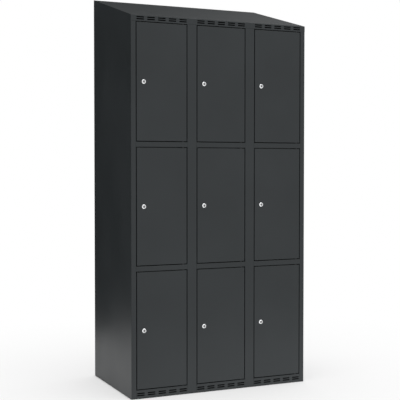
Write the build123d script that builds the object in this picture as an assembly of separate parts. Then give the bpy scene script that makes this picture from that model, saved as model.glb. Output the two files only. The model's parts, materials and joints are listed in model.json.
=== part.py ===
from build123d import *
import math
import os

# Steel locker cabinet: three columns of three doors under a roof that slopes down to the front.
#
# Every sheet-metal piece is a folded sheet with real bend radii. The stiles and mullions run the full
# height, each shelf is one sheet whose front edge is folded into the rail between two doors, and the
# roof is folded down at the front into the vented header. Each door is a folded pan that turns on two
# pivot pins in plastic bushes and is held by a cam lock.
#
# Millimetres. While the pieces are made, X runs from the left side, Y from the front face towards the
# back and Z up from the floor. save() moves them to the part's own frame, whose origin is the middle of
# the base, with the front facing -Y.

# Carcass
COLUMNS = 3
TIERS = 3
COLUMN_WIDTH = 300.0
WIDTH = COLUMNS * COLUMN_WIDTH
DEPTH = 540.0
FRONT_HEIGHT = 1740.0
REAR_HEIGHT = 1890.0
SHEET = 0.8
BEND_INSIDE = 0.8  # inside radius of every fold
BACK = DEPTH - SHEET  # where the back panel lies on the rear flanges
PAN_END = DEPTH - 3 * SHEET  # where the shelves and pans end, in front of the rear flanges

# Front frame
FACE = 23.5  # face width of a side stile, half a mullion, and the height of a rail
SILL_HEIGHT = 39.5
OPENING_HEIGHT = 542.0
TIER_PITCH = OPENING_HEIGHT + FACE
HEADER_Z = SILL_HEIGHT + TIERS * OPENING_HEIGHT + (TIERS - 1) * FACE
REBATE = 18.0  # depth from the face to the door stop
STOP_LIP = 10.0
HINGE_JAMB = 22.0
JAMB_RETURN = 13.5
RAIL_DEPTH = 23.0  # where a shelf widens behind the jambs
SILL_RETURN = 12.0

# Inside sheets
REAR_FLANGE = 15.0
PAN_FLANGE = 15.0
PARTITION_FOLD = 17.5
CEILING_Z = 1735.2
CEILING_FLANGE_START = 60.0
SHELF_FLANGE_START = 40.0
SHELF_FLANGE_INSET = 10.0

# Roof
ROOF_RISE = REAR_HEIGHT - FRONT_HEIGHT
ROOF_DROP = SHEET * math.hypot(BACK, ROOF_RISE) / BACK  # upright thickness of the sloping sheet
ROOF_FLANGE = 18.0
ROOF_SEAT = 14.0  # inward flange on top of a side panel, under the roof
ROOF_SEAT_START = 4.0

# Corners cut away where one sheet's bend would meet another sheet
FRONT_NOTCH = 3.0
REAR_NOTCH = 4.0
ROOF_FLANGE_NOTCH = 5.0

# Back panel
BACK_SIDE_GAP = 1.0
BACK_TOP_GAP = 5.0
WELD_ROWS = 16
WELD_FROM_END = 60.0
WELD_TIP_RADIUS = 12.0  # the spot welder's domed tip
WELD_DEPTH = 0.25

# Vent slots, five pairs to a column in the header and in the sill
SLOT_COUNT = 5
SLOT_LENGTH = 37.5
SLOT_HEIGHT = 5.4
SLOT_PITCH = 52.5
HEADER_SLOT_ROWS = (FRONT_HEIGHT - 8.5, FRONT_HEIGHT - 17.75)
SILL_SLOT_ROWS = (24.5, 15.25)

# Doors
GAP = 3.5
DOOR_WIDTH = COLUMN_WIDTH - 2 * FACE - 2 * GAP
DOOR_HEIGHT = OPENING_HEIGHT - 2 * GAP
DOOR_THICKNESS = 16.0
DOOR_RETURN = 12.0
STIFFENER_X = 150.0
STIFFENER_WIDTH = 44.0
STIFFENER_FOOT = 12.0
STIFFENER_DEPTH = 12.0
STIFFENER_INSET = 16.0

# Pivots, at the right-hand edge of each door
PIVOT_FROM_EDGE = 16.0
PIVOT_X = COLUMN_WIDTH - FACE - GAP - PIVOT_FROM_EDGE
PIVOT_Y = 8.0
PIN_RADIUS = 3.0
RUNNING_GAP = 0.05
COLLAR_RADIUS = 5.0
COLLAR_THICKNESS = 1.2
BUSH_RADIUS = 4.45
BUSH_HOLE_RADIUS = 4.5
BUSH_FLANGE_RADIUS = 6.0
BUSH_FLANGE_THICKNESS = 1.2
BUSH_DEPTH = 4.8
PIN_REACH = 7.5  # beyond the door's edge, into the bush
PIN_INSIDE = 4.0
PIN_CHAMFER = 0.6
HINGE_LIP_END = 238.0  # the stop over a door ends here, clear of the swinging hinge edge

# Locks
LOCK_X = 61.5
LOCK_Z = SILL_HEIGHT + OPENING_HEIGHT / 2  # of the bottom doors
HEAD_RADIUS = 10.0
HEAD_THICKNESS = 3.2
HEAD_CHAMFER = 1.4
BARREL_RADIUS = 8.0
BARREL_FLATS = 14.0
BARREL_END = 19.4
BARREL_HOLE_GAP = 0.1
CORE_RADIUS = 6.0
CORE_RECESS = 0.4
CORE_CHAMFER = 0.4
KEYWAY_WIDTH = 2.4
KEYWAY_HEIGHT = 8.4
KEYWAY_DEPTH = 12.0
TAIL = 7.0
TAIL_END = 23.0
CAM_Y = 20.4
CAM_THICKNESS = 2.0
CAM_REACH = 36.0
CAM_HALF_WIDTH = 8.0
SCREW_RADIUS = 2.0
SCREW_HEAD_RADIUS = 4.4
SCREW_HEAD_THICKNESS = 2.8
SCREW_LENGTH = 8.0
SCREW_HOLE_DEPTH = 9.0
NUT_RADIUS = 12.0
NUT_THICKNESS = 4.0

# Rubber buffers on the stop lips
BUFFER_FROM_JAMB = 5.4
BUFFER_RADIUS = 4.0
BUFFER_THICKNESS = 1.7
BUFFER_ROUNDING = 0.6
BUFFER_STEM_RADIUS = 1.8
BUFFER_STEM_LENGTH = 3.0
BUFFER_FROM_END = 60.0

# Wall fixing
FIXING_RADIUS = 4.5
FIXING_Z = 1650.0
FIXING_COLUMNS = (0, 2)

OVER = 1.0  # how far a cut runs past the sheet, and how deep two joined shapes sink into each other

COLUMN_NAMES = ("left", "centre", "right")
TIER_NAMES = ("bottom", "middle", "top")


def column_x(column):
    """Left boundary of a column."""
    return column * COLUMN_WIDTH


def opening_z(tier):
    """Bottom of a door opening."""
    return SILL_HEIGHT + tier * TIER_PITCH


def roof_z(y):
    """Height of the roof's top surface at a depth behind the face."""
    return FRONT_HEIGHT + y * ROOF_RISE / BACK


def block(x, y, z):
    """A box from its low and high limits along each axis."""
    size = [high - low for low, high in (x, y, z)]
    return Pos(x[0], y[0], z[0]) * Box(*size, align=(Align.MIN, Align.MIN, Align.MIN))


def rod(x, y, z, radius):
    """An upright cylinder between two heights."""
    base = Pos(x, y, z[0])
    return base * Cylinder(radius, z[1] - z[0], align=(Align.CENTER, Align.CENTER, Align.MIN))


def bar(x, z, y, radius):
    """A cylinder along Y between two depths."""
    low = Align.MIN
    lying = Rot(-90, 0, 0) * Cylinder(radius, y[1] - y[0], align=(Align.CENTER, Align.CENTER, low))
    return Pos(x, y[0], z) * lying


def hexagon(x, z, y, radius):
    """A hexagonal prism along Y from one depth, as tall as the second number."""
    return Pos(x, y[0], z) * Rot(-90, 0, 0) * extrude(RegularPolygon(radius, 6), y[1])


def offset_corner(before, corner, after, distance):
    """The corner of a path moved sideways by a distance, positive to the left of the path."""
    normals = []
    for a, b in ((before, corner), (corner, after)):
        length = math.dist(a, b)
        normals.append((-(b[1] - a[1]) / length, (b[0] - a[0]) / length))
    (ax, ay), (bx, by) = normals
    share = distance / (1 + ax * bx + ay * by)
    return (corner[0] + share * (ax + bx), corner[1] + share * (ay + by))


def offset_end(end, other, distance, sign):
    """The end of a path moved sideways; sign is 1 at the first point and -1 at the last."""
    length = math.dist(end, other)
    nx = -(other[1] - end[1]) / length * sign
    ny = (other[0] - end[0]) / length * sign
    return (end[0] + distance * nx, end[1] + distance * ny)


def folded_section(path, side):
    """Cross-section of a folded sheet. path runs along one surface; the sheet lies to its side."""
    left = side == "left"
    distance = SHEET if left else -SHEET
    far = [offset_end(path[0], path[1], distance, 1)]
    near_radii, far_radii = [], []
    for before, corner, after in zip(path, path[1:], path[2:]):
        far.append(offset_corner(before, corner, after, distance))
        turn = (corner[0] - before[0]) * (after[1] - corner[1])
        turn -= (corner[1] - before[1]) * (after[0] - corner[0])
        path_is_outside = (turn > 0) == left
        near_radii.append(BEND_INSIDE + (SHEET if path_is_outside else 0))
        far_radii.append(BEND_INSIDE + (0 if path_is_outside else SHEET))
    far.append(offset_end(path[-1], path[-2], distance, -1))
    near_line = FilletPolyline(*path, radius=near_radii)
    far_line = FilletPolyline(*far, radius=far_radii)
    caps = [Line(path[0], far[0]), Line(path[-1], far[-1])]
    return make_face([*near_line.edges(), *far_line.edges(), *[e for c in caps for e in c.edges()]])


def fold_up(path, side, z):
    """A sheet folded along upright lines: path is a plan of (x, y)."""
    return Pos(0, 0, z[0]) * extrude(folded_section(path, side), z[1] - z[0])


def fold_across(path, side, x):
    """A sheet folded along lines across the cabinet: path is a side view of (y, z)."""
    return Plane.YZ.offset(x[0]) * extrude(folded_section(path, side), x[1] - x[0])


def fold_back(path, side, y):
    """A sheet folded along lines from front to back: path is a front view of (x, z)."""
    return Plane.XZ.offset(-y[1]) * extrude(folded_section(path, side), y[1] - y[0])


def vent_slots(column, rows):
    """Two rows of round-ended slots through the face of one column."""
    first = column_x(column) + (COLUMN_WIDTH - (SLOT_COUNT - 1) * SLOT_PITCH) / 2
    slot = Rot(90, 0, 0) * extrude(SlotOverall(SLOT_LENGTH, SLOT_HEIGHT), SHEET + OVER, both=True)
    return [Pos(first + i * SLOT_PITCH, 0, z) * slot for z in rows for i in range(SLOT_COUNT)]


def rail_zones():
    """Heights of the frame members that cross a stile: the sill and each rail."""
    rails = [(opening_z(t) - FACE, opening_z(t)) for t in range(1, TIERS)]
    return [(-OVER, SILL_HEIGHT), *rails]


def buffer_heights():
    """Heights of the buffers, two to a door."""
    low = [opening_z(t) + BUFFER_FROM_END for t in range(TIERS)]
    high = [opening_z(t) + OPENING_HEIGHT - BUFFER_FROM_END for t in range(TIERS)]
    return low + high


def clear_lock_stile(stile, jamb_x):
    """Takes the stop lip away where a rail crosses it, and pierces it for the buffers."""
    depth = (REBATE - OVER, REBATE + SHEET + OVER)
    for zone in rail_zones():
        stile -= block((jamb_x, jamb_x + STOP_LIP + OVER), depth, zone)
    for z in buffer_heights():
        stile -= bar(jamb_x + BUFFER_FROM_JAMB, z, depth, BUFFER_STEM_RADIUS + RUNNING_GAP)
    return stile


def over_floor_pan(x):
    """Room for the floor pan under a stile or a mullion."""
    return block(x, (SHEET, HINGE_JAMB + OVER), (-OVER, SHEET))


def above_roof_seat():
    """Everything above the underside of the roof."""
    y0, y1 = -OVER, DEPTH + OVER
    low = [(y, roof_z(y) - ROOF_DROP) for y in (y0, y1)]
    top = roof_z(y1) + OVER
    outline = Polyline(*low, (y1, top), (y0, top), close=True)
    return Plane.YZ.offset(-OVER) * extrude(make_face(outline.edges()), WIDTH + 2 * OVER)


def roof_seat(x):
    """The inward flange on which the roof lies."""
    upper = [(y, roof_z(y) - ROOF_DROP) for y in (ROOF_SEAT_START, PAN_END - SHEET)]
    lower = [(y, z - ROOF_DROP) for y, z in reversed(upper)]
    outline = Polyline(*upper, *lower, close=True)
    return Plane.YZ.offset(x[0]) * extrude(make_face(outline.edges()), x[1] - x[0])


def side_panel(mirrored):
    """Side, front stile, door stop or hinge jamb, and rear flange, all in one sheet."""
    if mirrored:
        jamb = WIDTH - FACE
        path = [(jamb + JAMB_RETURN, HINGE_JAMB), (jamb, HINGE_JAMB), (jamb, 0), (WIDTH, 0)]
        path += [(WIDTH, BACK), (WIDTH - REAR_FLANGE, BACK)]
        inner = (jamb - OVER, WIDTH - SHEET)
        side, seat = (WIDTH - SHEET, WIDTH + OVER), (WIDTH - ROOF_SEAT, WIDTH)
        flange = (WIDTH - REAR_FLANGE - OVER, WIDTH - SHEET)
    else:
        path = [(FACE + STOP_LIP, REBATE), (FACE, REBATE), (FACE, 0), (0, 0), (0, BACK)]
        path += [(REAR_FLANGE, BACK)]
        inner = (SHEET, FACE + STOP_LIP + OVER)
        side, seat = (-OVER, SHEET), (0, ROOF_SEAT)
        flange = (SHEET, REAR_FLANGE + OVER)
    panel = fold_up(path, "left" if mirrored else "right", (0, REAR_HEIGHT))
    if not mirrored:
        panel = clear_lock_stile(panel, FACE)
    top = REAR_HEIGHT + OVER
    panel -= block(inner, (-OVER, HINGE_JAMB + OVER), (HEADER_Z, top))
    panel -= block(side, (-OVER, SHEET), (HEADER_Z, top))
    panel -= block(side, (-OVER, FRONT_NOTCH), (FRONT_HEIGHT - FRONT_NOTCH, top))
    panel -= block(side, (BACK - FRONT_NOTCH, DEPTH), (REAR_HEIGHT - REAR_NOTCH, top))
    panel -= block(flange, (BACK - FRONT_NOTCH, DEPTH), (REAR_HEIGHT - ROOF_FLANGE - OVER, top))
    panel -= over_floor_pan(inner)
    panel -= above_roof_seat()
    return panel + roof_seat(seat)


def mullion(column):
    """Upright channel between two columns: hinge jamb on its left, door stop on its right."""
    x = column_x(column)
    path = [(x - FACE + JAMB_RETURN, HINGE_JAMB), (x - FACE, HINGE_JAMB), (x - FACE, 0)]
    path += [(x + FACE, 0), (x + FACE, REBATE), (x + FACE + STOP_LIP, REBATE)]
    post = fold_up(path, "left", (0, HEADER_Z))
    post = clear_lock_stile(post, x + FACE)
    return post - over_floor_pan((x - FACE - OVER, x + FACE + STOP_LIP + OVER))


def partition(column):
    """Flat wall between two columns, folded at the front into the mullion and at the back."""
    x = column_x(column) - SHEET / 2
    path = [(x + PARTITION_FOLD, SHEET), (x, SHEET), (x, BACK), (x + REAR_FLANGE, BACK)]
    wall = fold_up(path, "right", (SHEET, CEILING_Z))
    return wall - block((x - OVER, x + FACE), (-OVER, REBATE + OVER), (HEADER_Z, CEILING_Z + OVER))


def trim_stop(shape, column, z):
    """Shortens the stop over a door: it ends at the upright stop and clear of the hinge."""
    x = column_x(column)
    depth, height = (REBATE - OVER, REBATE + SHEET + OVER), (z - STOP_LIP - OVER, z)
    shape -= block((x - FACE, x + FACE + STOP_LIP), depth, height)
    return shape - block((x + HINGE_LIP_END, x + COLUMN_WIDTH + OVER), depth, height)


def sloping_roof():
    """Roof, vented header and the door stops under it, folded from one sheet."""
    path = [(REBATE, HEADER_Z - STOP_LIP), (REBATE, HEADER_Z), (0, HEADER_Z), (0, FRONT_HEIGHT)]
    path += [(BACK, REAR_HEIGHT), (BACK, REAR_HEIGHT - ROOF_FLANGE)]
    roof = fold_across(path, "right", (0, WIDTH))
    header = (HEADER_Z - OVER, HEADER_Z + SHEET + OVER)
    for column in range(COLUMNS):
        roof = trim_stop(roof, column, HEADER_Z)
        roof -= rod(column_x(column) + PIVOT_X, PIVOT_Y, header, BUSH_HOLE_RADIUS)
        for slot in vent_slots(column, HEADER_SLOT_ROWS):
            roof -= slot
    stop = (HEADER_Z - STOP_LIP - OVER, HEADER_Z + FRONT_NOTCH)
    flange = (REAR_HEIGHT - ROOF_FLANGE - OVER, REAR_HEIGHT - REAR_NOTCH)
    for edge in ((-OVER, SHEET), (WIDTH - SHEET, WIDTH + OVER)):
        roof -= block(edge, (SHEET, REBATE + SHEET + OVER), stop)
        roof -= block(edge, (DEPTH - ROOF_FLANGE_NOTCH, DEPTH), flange)
    return roof


def shelf(column, tier):
    """Floor of a compartment, with the rail under it folded from its front edge."""
    x = column_x(column)
    x0, x1 = x + SHEET, x + COLUMN_WIDTH - SHEET
    top = opening_z(tier)
    low = top - FACE
    path = [(REBATE, low - STOP_LIP), (REBATE, low), (0, low), (0, top)]
    path += [(PAN_END, top), (PAN_END, top - PAN_FLANGE)]
    deck = fold_across(path, "right", (x0, x1))
    front = (-OVER, RAIL_DEPTH), (low - STOP_LIP - OVER, top + OVER)
    deck -= block((x0 - OVER, x + FACE), *front)
    deck -= block((x + COLUMN_WIDTH - FACE, x1 + OVER), *front)
    deck = trim_stop(deck, column, low)
    flange = (SHELF_FLANGE_START, PAN_END - SHELF_FLANGE_INSET), (top - PAN_FLANGE, top - SHEET / 2)
    deck += block((x0, x0 + SHEET), *flange)
    deck += block((x1 - SHEET, x1), *flange)
    for z in (low, top):
        deck -= rod(x + PIVOT_X, PIVOT_Y, (z - 2 * SHEET, z + 2 * SHEET), BUSH_HOLE_RADIUS)
    return deck


def sill(column):
    """Vented rail under the lowest door."""
    x = column_x(column)
    path = [(RAIL_DEPTH, SILL_HEIGHT - SILL_RETURN), (RAIL_DEPTH, SILL_HEIGHT)]
    path += [(0, SILL_HEIGHT), (0, 0)]
    rail = fold_across(path, "left", (x + FACE, x + COLUMN_WIDTH - FACE))
    hole = (SILL_HEIGHT - 2 * SHEET, SILL_HEIGHT + OVER)
    rail -= rod(x + PIVOT_X, PIVOT_Y, hole, BUSH_HOLE_RADIUS)
    for slot in vent_slots(column, SILL_SLOT_ROWS):
        rail -= slot
    return rail


def tray(z):
    """Flat sheet the size of the cabinet with its side edges folded up."""
    left, right = SHEET, WIDTH - SHEET
    path = [(left, z + PAN_FLANGE), (left, z), (right, z), (right, z + PAN_FLANGE)]
    return fold_back(path, "left", (SHEET, PAN_END))


def floor_pan():
    """Floor of the lowest compartments, notched at the front for the bends of the side panels."""
    pan = tray(0)
    for x in ((0, FRONT_NOTCH), (WIDTH - FRONT_NOTCH, WIDTH)):
        pan -= block(x, (0, FRONT_NOTCH), (-OVER, PAN_FLANGE + OVER))
    return pan


def ceiling_pan():
    """Flat top of the compartments; its side flanges start where the roof leaves room for them."""
    flanges = (CEILING_Z + SHEET, CEILING_Z + PAN_FLANGE + OVER)
    return tray(CEILING_Z) - block((0, WIDTH), (0, CEILING_FLANGE_START), flanges)


def weld_dents():
    """Spot-weld marks in rows over the rear flanges of the side panels and partitions."""
    low, high = WELD_FROM_END, REAR_HEIGHT - WELD_FROM_END
    half = REAR_FLANGE / 2
    rows = [half, *[column_x(c) + half for c in range(1, COLUMNS)], WIDTH - half]
    y = DEPTH + WELD_TIP_RADIUS - WELD_DEPTH
    heights = [low + i * (high - low) / (WELD_ROWS - 1) for i in range(WELD_ROWS)]
    return [Pos(x, y, z) * Sphere(WELD_TIP_RADIUS) for x in rows for z in heights]


def back_panel():
    across, height = (BACK_SIDE_GAP, WIDTH - BACK_SIDE_GAP), (0, REAR_HEIGHT - BACK_TOP_GAP)
    panel = block(across, (BACK, DEPTH), height)
    for column in FIXING_COLUMNS:
        x = column_x(column) + COLUMN_WIDTH / 2
        panel -= bar(x, FIXING_Z, (BACK - OVER, DEPTH + OVER), FIXING_RADIUS)
    for dent in weld_dents():
        panel -= dent
    return panel


def hinge_bush(column, z, up):
    """Plastic bush in a rail: up is 1 where its flange lies on top of the rail, -1 below it."""
    x = column_x(column) + PIVOT_X
    flange = sorted((z, z + up * BUSH_FLANGE_THICKNESS))
    sleeve = sorted((z + up * BUSH_FLANGE_THICKNESS / 2, z - up * BUSH_DEPTH))
    bush = rod(x, PIVOT_Y, flange, BUSH_FLANGE_RADIUS) + rod(x, PIVOT_Y, sleeve, BUSH_RADIUS)
    bore = (z - BUSH_DEPTH - OVER, z + BUSH_DEPTH + OVER)
    return bush - rod(x, PIVOT_Y, bore, PIN_RADIUS + RUNNING_GAP)


def hinge_bushes():
    made = []
    for column in range(COLUMNS):
        for tier in range(TIERS):
            z = opening_z(tier)
            made.append(hinge_bush(column, z, 1))
            made.append(hinge_bush(column, z + OPENING_HEIGHT, -1))
    return made


def door_buffers():
    made = []
    sunk = BUFFER_THICKNESS / 3
    for column in range(COLUMNS):
        x = column_x(column) + FACE + BUFFER_FROM_JAMB
        for z in buffer_heights():
            pad = bar(x, z, (REBATE - BUFFER_THICKNESS, REBATE), BUFFER_RADIUS)
            stem = bar(x, z, (REBATE - sunk, REBATE + BUFFER_STEM_LENGTH), BUFFER_STEM_RADIUS)
            pad = fillet(pad.edges().group_by(Axis.Y)[0], BUFFER_ROUNDING)
            made.append(pad + stem)
    return made


def door_pan():
    """Door skin with four flanges and returns, in the place of the bottom left door."""
    x0, z0 = FACE + GAP, opening_z(0) + GAP
    x1, z1 = x0 + DOOR_WIDTH, z0 + DOOR_HEIGHT
    outside = block((x0, x1), (0, DOOR_THICKNESS), (z0, z1))
    outside = fillet(outside.edges().group_by(Axis.Y)[0], BEND_INSIDE + SHEET)
    hollow = block(
        (x0 + SHEET, x1 - SHEET), (SHEET, DOOR_THICKNESS - SHEET), (z0 + SHEET, z1 - SHEET)
    )
    hollow = fillet(hollow.edges().group_by(Axis.Y)[0], BEND_INSIDE)
    opening = block(
        (x0 + DOOR_RETURN, x1 - DOOR_RETURN),
        (DOOR_THICKNESS - 2 * SHEET, DOOR_THICKNESS + OVER),
        (z0 + DOOR_RETURN, z1 - DOOR_RETURN),
    )
    pan = outside - hollow - opening
    pan -= barrel((-OVER, SHEET + OVER), BARREL_HOLE_GAP)
    for z in (z0, z1):
        hole = (z - 2 * SHEET, z + 2 * SHEET)
        pan -= rod(PIVOT_X, PIVOT_Y, hole, PIN_RADIUS + RUNNING_GAP)
    return pan


def door_stiffener():
    """Hat channel welded upright inside the door skin."""
    half = STIFFENER_WIDTH / 2
    crown = SHEET + STIFFENER_DEPTH
    x = STIFFENER_X
    path = [(x - half - STIFFENER_FOOT, SHEET), (x - half, SHEET), (x - half, crown)]
    path += [(x + half, crown), (x + half, SHEET), (x + half + STIFFENER_FOOT, SHEET)]
    z0 = opening_z(0) + GAP + STIFFENER_INSET
    return fold_up(path, "left", (z0, z0 + DOOR_HEIGHT - 2 * STIFFENER_INSET))


def pivot_pin(z, up):
    """Pin at one end of the door: up is 1 at the top edge and -1 at the bottom edge."""
    collar = sorted((z, z + up * COLLAR_THICKNESS))
    head = sorted((z - up * SHEET, z - up * (SHEET + COLLAR_THICKNESS)))
    shank = sorted((z + up * PIN_REACH, z - up * PIN_INSIDE))
    pin = rod(PIVOT_X, PIVOT_Y, shank, PIN_RADIUS)
    pin += rod(PIVOT_X, PIVOT_Y, collar, COLLAR_RADIUS)
    pin += rod(PIVOT_X, PIVOT_Y, head, COLLAR_RADIUS)
    end = Axis.Z if up < 0 else -Axis.Z
    return chamfer(pin.edges().group_by(end)[0], PIN_CHAMFER)


def pivot_pins():
    z0 = opening_z(0) + GAP
    return [pivot_pin(z0, -1), pivot_pin(z0 + DOOR_HEIGHT, 1)]


def barrel(y, grow):
    """Round barrel with two flats, which keep it from turning in the door."""
    body = bar(LOCK_X, LOCK_Z, y, BARREL_RADIUS + grow)
    half = BARREL_FLATS / 2 + grow
    height = (LOCK_Z - BARREL_RADIUS - OVER, LOCK_Z + BARREL_RADIUS + OVER)
    return body & block((LOCK_X - half, LOCK_X + half), y, height)


def square_bar(width, y):
    """A square bar along Y on the lock's axis."""
    half = width / 2
    return block((LOCK_X - half, LOCK_X + half), y, (LOCK_Z - half, LOCK_Z + half))


def lock_housing():
    """Bright head and barrel, bored for the core, and the nut that clamps it to the door."""
    head = bar(LOCK_X, LOCK_Z, (-HEAD_THICKNESS, 0), HEAD_RADIUS)
    head = chamfer(head.edges().group_by(Axis.Y)[0], HEAD_CHAMFER)
    housing = head + barrel((-OVER, BARREL_END), 0)
    bore = (-HEAD_THICKNESS - OVER, BARREL_END + OVER)
    housing -= bar(LOCK_X, LOCK_Z, bore, CORE_RADIUS + RUNNING_GAP)
    nut = hexagon(LOCK_X, LOCK_Z, (SHEET, NUT_THICKNESS), NUT_RADIUS)
    nut -= bar(LOCK_X, LOCK_Z, (0, SHEET + NUT_THICKNESS + OVER), BARREL_RADIUS + RUNNING_GAP)
    return [housing, nut]


def lock_core():
    """Turning core with its keyway at the front and a square tail at the back."""
    face = -HEAD_THICKNESS + CORE_RECESS
    core = bar(LOCK_X, LOCK_Z, (face, BARREL_END), CORE_RADIUS)
    core = chamfer(core.edges().group_by(Axis.Y)[0], CORE_CHAMFER)
    core += square_bar(TAIL, (BARREL_END - OVER, TAIL_END))
    across = (LOCK_X - KEYWAY_WIDTH / 2, LOCK_X + KEYWAY_WIDTH / 2)
    height = (LOCK_Z - KEYWAY_HEIGHT / 2, LOCK_Z + KEYWAY_HEIGHT / 2)
    core -= block(across, (face - OVER, face + KEYWAY_DEPTH), height)
    screw_hole = (TAIL_END - SCREW_HOLE_DEPTH, TAIL_END + OVER)
    return core - bar(LOCK_X, LOCK_Z, screw_hole, SCREW_RADIUS + RUNNING_GAP)


def lock_cam():
    """Cam hanging down from the core, and the screw that holds it on."""
    thickness = (CAM_Y, CAM_Y + CAM_THICKNESS)
    tip = LOCK_Z - CAM_REACH + CAM_HALF_WIDTH
    across = (LOCK_X - CAM_HALF_WIDTH, LOCK_X + CAM_HALF_WIDTH)
    cam = block(across, thickness, (tip, LOCK_Z))
    cam += bar(LOCK_X, LOCK_Z, thickness, CAM_HALF_WIDTH)
    cam += bar(LOCK_X, tip, thickness, CAM_HALF_WIDTH)
    cam -= square_bar(TAIL + 2 * RUNNING_GAP, (CAM_Y - OVER, CAM_Y + CAM_THICKNESS + OVER))
    screw = hexagon(LOCK_X, LOCK_Z, (TAIL_END, SCREW_HEAD_THICKNESS), SCREW_HEAD_RADIUS)
    screw += bar(LOCK_X, LOCK_Z, (TAIL_END - SCREW_LENGTH, TAIL_END + OVER), SCREW_RADIUS)
    return [cam, screw]


def save(node, shapes):
    """Writes one node, moved to the part's own frame."""
    to_frame = Pos(-WIDTH / 2, -DEPTH / 2, 0)
    pieces = [to_frame * solid for shape in shapes for solid in shape.solids()]
    export_step(pieces[0] if len(pieces) == 1 else Compound(children=pieces), f"parts/{node}.step")


def save_carcass():
    save("left_side_panel", [side_panel(mirrored=False)])
    save("right_side_panel", [side_panel(mirrored=True)])
    for name, column in (("left", 1), ("right", 2)):
        save(f"{name}_partition", [partition(column)])
        save(f"{name}_mullion", [mullion(column)])
    save("back_panel", [back_panel()])
    save("floor_pan", [floor_pan()])
    save("ceiling_pan", [ceiling_pan()])
    save("sloping_roof", [sloping_roof()])
    save("vented_sills", [sill(c) for c in range(COLUMNS)])
    for name, tier in (("lower", 1), ("upper", 2)):
        save(f"{name}_shelves", [shelf(c, tier) for c in range(COLUMNS)])
    save("hinge_bushes", hinge_bushes())
    save("door_buffers", door_buffers())


def save_doors():
    """Nine copies of the bottom left door, each with its own nodes."""
    made = {
        "panel": [door_pan(), door_stiffener()],
        "pivot_pins": pivot_pins(),
        "lock_housing": lock_housing(),
        "lock_core": [lock_core()],
        "lock_cam": lock_cam(),
    }
    for tier, tier_name in enumerate(TIER_NAMES):
        for column, column_name in enumerate(COLUMN_NAMES):
            move = Pos(column_x(column), 0, tier * TIER_PITCH)
            for piece, shapes in made.items():
                save(f"{tier_name}_{column_name}_door_{piece}", [move * s for s in shapes])


os.makedirs("parts", exist_ok=True)
save_carcass()
save_doors()
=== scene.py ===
import json
import math

import bpy
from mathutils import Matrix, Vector


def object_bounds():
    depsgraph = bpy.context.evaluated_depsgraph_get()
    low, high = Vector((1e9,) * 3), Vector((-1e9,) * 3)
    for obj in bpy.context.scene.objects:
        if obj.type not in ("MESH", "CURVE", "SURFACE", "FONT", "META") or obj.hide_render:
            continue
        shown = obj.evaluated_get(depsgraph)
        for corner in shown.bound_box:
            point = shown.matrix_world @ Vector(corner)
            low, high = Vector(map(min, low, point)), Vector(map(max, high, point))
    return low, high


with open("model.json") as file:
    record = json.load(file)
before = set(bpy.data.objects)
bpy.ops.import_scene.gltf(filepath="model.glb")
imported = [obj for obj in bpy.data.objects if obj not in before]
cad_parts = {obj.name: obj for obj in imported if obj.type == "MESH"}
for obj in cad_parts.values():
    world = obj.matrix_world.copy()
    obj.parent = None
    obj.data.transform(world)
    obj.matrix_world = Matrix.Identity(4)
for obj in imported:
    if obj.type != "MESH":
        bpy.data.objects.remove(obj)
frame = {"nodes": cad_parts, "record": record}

CAD_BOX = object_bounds()

# Everything here is in metres, in the part's own frame: the front faces -Y, and +Z is up.

# Camera
CAMERA_PLACE = Vector((-1.883, -4.198, 1.0545))
CAMERA_YAW = math.radians(23.98)
CAMERA_PITCH = math.radians(1.835)
CAMERA_LENS = 83.35
SENSOR = 36.0
CAMERA_SHIFT = (0.0128, -0.0076)

# Finishes, linear RGB. A surface wanders between its two shades.
COAT_SHADES = ((0.0160, 0.0193, 0.0209, 1.0), (0.0192, 0.0229, 0.0247, 1.0))
COAT_FLECK = (0.0400, 0.0460, 0.0490, 1.0)
COAT_SPECULAR = 0.3
COAT_ROUGHNESS = (0.36, 0.44)
CHROME_SHADES = ((0.93, 0.94, 0.95, 1.0), (0.82, 0.83, 0.85, 1.0))
CORE_SHADES = ((0.34, 0.34, 0.34, 1.0), (0.22, 0.22, 0.22, 1.0))
ZINC_SHADES = ((0.50, 0.52, 0.55, 1.0), (0.66, 0.67, 0.68, 1.0))
BLACK_OXIDE_SHADES = ((0.012, 0.012, 0.013, 1.0), (0.05, 0.05, 0.05, 1.0))
NYLON_SHADES = ((0.012, 0.012, 0.013, 1.0), (0.022, 0.022, 0.023, 1.0))
NYLON_ROUGHNESS = 0.42
RUBBER_SHADES = ((0.01, 0.01, 0.01, 1.0), (0.02, 0.02, 0.019, 1.0))
RUBBER_ROUGHNESS = 0.72
MOULDED_ROUGHNESS_SPREAD = 0.08

# Floor: it glows more and more away from the cabinet, up to pure white.
WHITE = (1.0, 1.0, 1.0, 1.0)
FLOOR_SIZE = 60.0
FLOOR_Z = -0.0005  # just under the cabinet's base, so that the two never share a plane
FLOOR_SHADE = (0.86, 0.86, 0.86, 1.0)
FLOOR_ROUGHNESS = 0.9
FLOOR_GLOW = (0.5, 1.0)
FLOOR_GLOW_REACH = 1.7  # from the cabinet to where the floor is all white
FLOOR_GLOW_EDGE = 0.01  # over which the glow starts, since none is under the cabinet

# Lights
WORLD_STRENGTH = 1.0
TOP_LIGHT_PLACE = (0.6, -0.6, 4.2)
TOP_LIGHT_TARGET = (0.2, -0.2, 0.0)
TOP_LIGHT_SIZE = (3.5, 3.5)
TOP_LIGHT_WATTS = 40.0
BOUNCE_SIDES = (-0.45, 1.2)
BOUNCE_REACH = 0.8  # out over the floor from the cabinet's front
BOUNCE_Z = 0.001
BOUNCE_WATTS = 2.0

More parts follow.
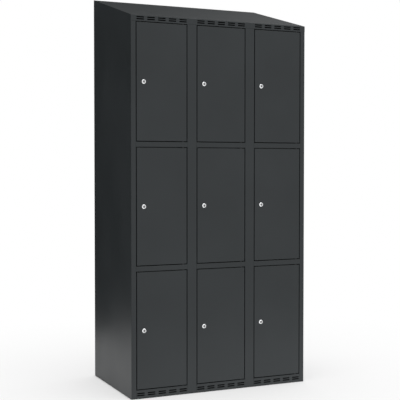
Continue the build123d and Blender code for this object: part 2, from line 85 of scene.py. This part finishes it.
# Cards: two ends on the floor plan, the heights between which each stands, and the shades of its ends.
DARK = (0.02, 0.02)
CARDS = {
    "side_card": ((-4.2, 1.36), (-0.3, 1.36), (0.0, 2.2), DARK),
    "high_card": ((-4.2, 1.36), (0.5, 1.36), (2.2, 4.6), (0.08, 0.08)),
    "roof_card": ((0.5, 1.36), (2.4, 1.36), (1.95, 4.6), (0.08, 0.4)),
    "left_card": ((-3.6, -1.4), (-3.6, 4.6), (0.0, 4.6), DARK),
}
LEAST_WIDTH = 0.001  # along X, for the shade of a card whose ends share one X

# Colour sockets of the Mix node, which has one set for each kind of data.
MIX_COLOURS = (6, 7)
MIX_RESULT = 2


class Nodes:
    """Short calls for building one material's node tree."""

    def __init__(self, name):
        self.material = bpy.data.materials.new(name)
        self.material.use_nodes = True
        self.tree = self.material.node_tree
        self.tree.nodes.clear()
        self.output = self.tree.nodes.new("ShaderNodeOutputMaterial")
        self.shader = self.tree.nodes.new("ShaderNodeBsdfPrincipled")
        self.link(self.shader.outputs["BSDF"], self.output.inputs["Surface"])

    def link(self, source, target):
        self.tree.links.new(source, target)

    def node(self, kind, **settings):
        made = self.tree.nodes.new(kind)
        for key, value in settings.items():
            setattr(made, key, value)
        return made

    def constant(self, **values):
        """Sets sockets of the shader: underscores in a name stand for spaces."""
        for name, value in values.items():
            self.shader.inputs[name.replace("_", " ")].default_value = value

    def drive(self, **sources):
        """Links outputs to sockets of the shader: underscores in a name stand for spaces."""
        for name, source in sources.items():
            self.link(source, self.shader.inputs[name.replace("_", " ")])

    def place(self, scale=(1, 1, 1)):
        """Object coordinates in metres, stretched by scale."""
        coordinates = self.node("ShaderNodeTexCoord")
        mapping = self.node("ShaderNodeMapping")
        mapping.inputs["Scale"].default_value = scale
        self.link(coordinates.outputs["Object"], mapping.inputs["Vector"])
        return mapping.outputs["Vector"]

    def noise(self, vector, scale, detail=2.0):
        made = self.node("ShaderNodeTexNoise")
        self.link(vector, made.inputs["Vector"])
        made.inputs["Scale"].default_value = scale
        made.inputs["Detail"].default_value = detail
        return made.outputs["Fac"]

    def spread(self, value, low, high, to_low, to_high):
        """Maps low and high to two new values, and holds what is past them."""
        made = self.node("ShaderNodeMapRange")
        self.link(value, made.inputs["Value"])
        limits = {"From Min": low, "From Max": high, "To Min": to_low, "To Max": to_high}
        for name, number in limits.items():
            made.inputs[name].default_value = number
        return made.outputs["Result"]

    def blend(self, factor, first, second):
        """Mixes two colours, each a tuple or a node's output."""
        made = self.node("ShaderNodeMix", data_type="RGBA")
        self.link(factor, made.inputs["Factor"])
        for index, value in zip(MIX_COLOURS, (first, second)):
            if isinstance(value, tuple):
                made.inputs[index].default_value = value
            else:
                self.link(value, made.inputs[index])
        return made.outputs[MIX_RESULT]

    def bump(self, height, distance, strength=1.0, under=None):
        made = self.node("ShaderNodeBump")
        made.inputs["Strength"].default_value = strength
        made.inputs["Distance"].default_value = distance
        self.link(height, made.inputs["Height"])
        if under is not None:
            self.link(under, made.inputs["Normal"])
        return made.outputs["Normal"]


def powder_coat():
    """Semi-gloss anthracite: orange peel, fine grain, and a slight unevenness of film from spraying."""
    n = Nodes("powder_coat")
    place = n.place()
    film = n.noise(place, 3.1, detail=3.0)
    grain = n.noise(place, 900.0, detail=2.0)
    peel = n.noise(place, 330.0, detail=1.5)
    cloud = n.spread(film, 0.35, 0.65, 0.0, 1.0)
    base = n.blend(cloud, *COAT_SHADES)
    fleck = n.spread(grain, 0.52, 0.68, 0.0, 0.3)
    dents = n.noise(place, 5.0, detail=1.0)
    wavy = n.bump(dents, 0.0012, 0.5)
    skin = n.bump(peel, 0.0002, 0.5, wavy)
    n.drive(Base_Color=n.blend(fleck, base, COAT_FLECK),
            Roughness=n.spread(film, 0.3, 0.7, *COAT_ROUGHNESS),
            Normal=n.bump(grain, 0.00006, 0.5, skin))
    n.constant(Specular_IOR_Level=COAT_SPECULAR)
    return n.material


def lock_chrome():
    """Bright plate over a turned and polished zinc head, with hairline handling marks."""
    n = Nodes("lock_chrome")
    haze = n.noise(n.place(), 240.0, detail=4.0)
    marks = n.noise(n.place((1.0, 1.0, 14.0)), 900.0, detail=3.0)
    n.drive(Base_Color=n.blend(n.spread(haze, 0.4, 0.7, 0, 1), *CHROME_SHADES),
            Roughness=n.spread(marks, 0.3, 0.75, 0.08, 0.2),
            Normal=n.bump(marks, 0.00002, 0.3))
    n.constant(Metallic=1.0)
    return n.material


def lock_core_metal():
    """Satin nickel core."""
    n = Nodes("lock_core_metal")
    haze = n.noise(n.place(), 500.0, detail=4.0)
    n.drive(Base_Color=n.blend(n.spread(haze, 0.35, 0.7, 0, 1), *CORE_SHADES),
            Roughness=n.spread(haze, 0.3, 0.7, 0.22, 0.36),
            Normal=n.bump(haze, 0.00003, 0.4))
    n.constant(Metallic=1.0)
    return n.material


def zinc_steel():
    """Bluish zinc plate with a faint spangle."""
    n = Nodes("zinc_steel")
    place = n.place()
    cells = n.node("ShaderNodeTexVoronoi")
    n.link(place, cells.inputs["Vector"])
    cells.inputs["Scale"].default_value = 420.0
    haze = n.noise(place, 700.0, detail=3.0)
    n.drive(Base_Color=n.blend(cells.outputs["Distance"], *ZINC_SHADES),
            Roughness=n.spread(haze, 0.3, 0.7, 0.28, 0.45),
            Normal=n.bump(haze, 0.00004, 0.4))
    n.constant(Metallic=1.0)
    return n.material


def black_steel():
    """Turned pins in black oxide, rubbed a little brighter in places."""
    n = Nodes("black_steel")
    rub = n.noise(n.place(), 160.0, detail=4.0)
    turning = n.noise(n.place((1.0, 1.0, 30.0)), 260.0, detail=2.0)
    n.drive(Base_Color=n.blend(n.spread(rub, 0.5, 0.75, 0, 1), *BLACK_OXIDE_SHADES),
            Roughness=n.spread(turning, 0.3, 0.7, 0.35, 0.55),
            Normal=n.bump(turning, 0.00003, 0.4))
    return n.material


def moulded(name, shades, roughness):
    """Black moulded plastic or rubber with a fine eroded skin."""
    n = Nodes(name)
    place = n.place()
    skin = n.noise(place, 1500.0, detail=3.0)
    bloom = n.noise(place, 120.0, detail=3.0)
    smooth, rough = roughness - MOULDED_ROUGHNESS_SPREAD, roughness + MOULDED_ROUGHNESS_SPREAD
    n.drive(Base_Color=n.blend(n.spread(bloom, 0.35, 0.7, 0, 1), *shades),
            Roughness=n.spread(skin, 0.3, 0.7, smooth, rough),
            Normal=n.bump(skin, 0.00008, 0.5))
    return n.material


def paint_nodes():
    """Gives every CAD node the finish of its material slot."""
    finishes = {
        "powder_coat": powder_coat(),
        "lock_chrome": lock_chrome(),
        "lock_core_metal": lock_core_metal(),
        "zinc_steel": zinc_steel(),
        "black_steel": black_steel(),
        "nylon": moulded("nylon", NYLON_SHADES, NYLON_ROUGHNESS),
        "buffer_rubber": moulded("buffer_rubber", RUBBER_SHADES, RUBBER_ROUGHNESS),
    }
    slots = {row["node"]: row["material_slot"] for row in frame["record"]["subparts"]}
    for name, node in frame["nodes"].items():
        node.data.materials.clear()
        node.data.materials.append(finishes[slots[name]])


def card(name, start, end, heights, shades):
    """An upright studio card that only reflections see, shaded from one end to the other."""
    low, high = heights
    corners = [(*start, low), (*end, low), (*end, high), (*start, high)]
    mesh = bpy.data.meshes.new(name)
    mesh.from_pydata(corners, [], [(0, 1, 2, 3)])
    made = bpy.data.objects.new(name, mesh)
    bpy.context.scene.collection.objects.link(made)
    n = Nodes(name)
    along = n.node("ShaderNodeSeparateXYZ")
    n.link(n.place(), along.inputs["Vector"])
    n.drive(Base_Color=n.spread(along.outputs["X"], start[0], end[0] + LEAST_WIDTH, *shades))
    n.constant(Roughness=1.0, Specular_IOR_Level=0.0)
    mesh.materials.append(n.material)
    made.visible_camera = False
    made.visible_diffuse = False
    made.visible_shadow = False
    made.visible_transmission = False


def area_light(name, place, target, size, watts):
    light = bpy.data.lights.new(name, "AREA")
    light.shape = "RECTANGLE"
    light.size, light.size_y = size
    light.energy = watts
    holder = bpy.data.objects.new(name, light)
    bpy.context.scene.collection.objects.link(holder)
    holder.location = place
    holder.rotation_euler = (Vector(target) - Vector(place)).to_track_quat("-Z", "Y").to_euler()
    holder.visible_camera = False


def distance_from_cabinet(n):
    """How far a point of the floor is from the cabinet's footprint, which is nearly centred on the origin."""
    side, back, _ = CAD_BOX[1]
    away = n.place()
    steps = (("ABSOLUTE", None), ("SUBTRACT", (side, back, 0.0)), ("MAXIMUM", (0.0, 0.0, 0.0)))
    for operation, operand in steps:
        step = n.node("ShaderNodeVectorMath", operation=operation)
        n.link(away, step.inputs[0])
        if operand:
            step.inputs[1].default_value = operand
        away = step.outputs["Vector"]
    distance = n.node("ShaderNodeVectorMath", operation="LENGTH")
    n.link(away, distance.inputs[0])
    return distance.outputs["Value"]


def floor():
    """Pale floor that glows white away from the cabinet, so that it runs into the white surroundings."""
    bpy.ops.mesh.primitive_plane_add(size=FLOOR_SIZE, location=(0, 0, FLOOR_Z))
    made = bpy.context.object
    made.name = "floor"
    n = Nodes("pale_floor")
    n.constant(Base_Color=FLOOR_SHADE, Roughness=FLOOR_ROUGHNESS, Specular_IOR_Level=0.0)
    distance = distance_from_cabinet(n)
    outside = n.spread(distance, 0.0, FLOOR_GLOW_EDGE, 0.0, 1.0)
    growing = n.spread(distance, 0.0, FLOOR_GLOW_REACH, *FLOOR_GLOW)
    share = n.node("ShaderNodeMath", operation="MULTIPLY")
    n.link(outside, share.inputs[0])
    n.link(growing, share.inputs[1])
    glow = n.node("ShaderNodeEmission")
    glow.inputs["Color"].default_value = WHITE
    mixed = n.node("ShaderNodeMixShader")
    for socket, source in zip(mixed.inputs, (share, n.shader, glow)):
        n.link(source.outputs[0], socket)
    n.link(mixed.outputs["Shader"], n.output.inputs["Surface"])
    made.data.materials.append(n.material)


def surroundings():
    """Even white light from all round."""
    world = bpy.data.worlds.new("studio")
    bpy.context.scene.world = world
    world.use_nodes = True
    background = world.node_tree.nodes["Background"]
    background.inputs["Color"].default_value = WHITE
    background.inputs["Strength"].default_value = WORLD_STRENGTH


def floor_bounce():
    """Low light that shines up from the floor in front of the doors."""
    left, right = BOUNCE_SIDES
    place = Vector(((left + right) / 2, CAD_BOX[0][1] - BOUNCE_REACH / 2, BOUNCE_Z))
    area_light("floor_bounce", place, place + Vector((0, 0, 1)), (right - left, BOUNCE_REACH), BOUNCE_WATTS)


def studio():
    """Floor, white surroundings, a soft light above, light off the floor, and cards for the gloss."""
    floor()
    surroundings()
    area_light("top_light", TOP_LIGHT_PLACE, TOP_LIGHT_TARGET, TOP_LIGHT_SIZE, TOP_LIGHT_WATTS)
    floor_bounce()
    for name, stand in CARDS.items():
        card(name, *stand)


def camera():
    data = bpy.data.cameras.new("camera")
    data.lens = CAMERA_LENS
    data.sensor_width = SENSOR
    data.shift_x, data.shift_y = CAMERA_SHIFT
    holder = bpy.data.objects.new("camera", data)
    bpy.context.scene.collection.objects.link(holder)
    holder.location = CAMERA_PLACE
    holder.rotation_euler = (math.pi / 2 - CAMERA_PITCH, 0.0, -CAMERA_YAW)
    bpy.context.scene.camera = holder


paint_nodes()
studio()
camera()
bpy.context.scene.view_settings.view_transform = "Standard"
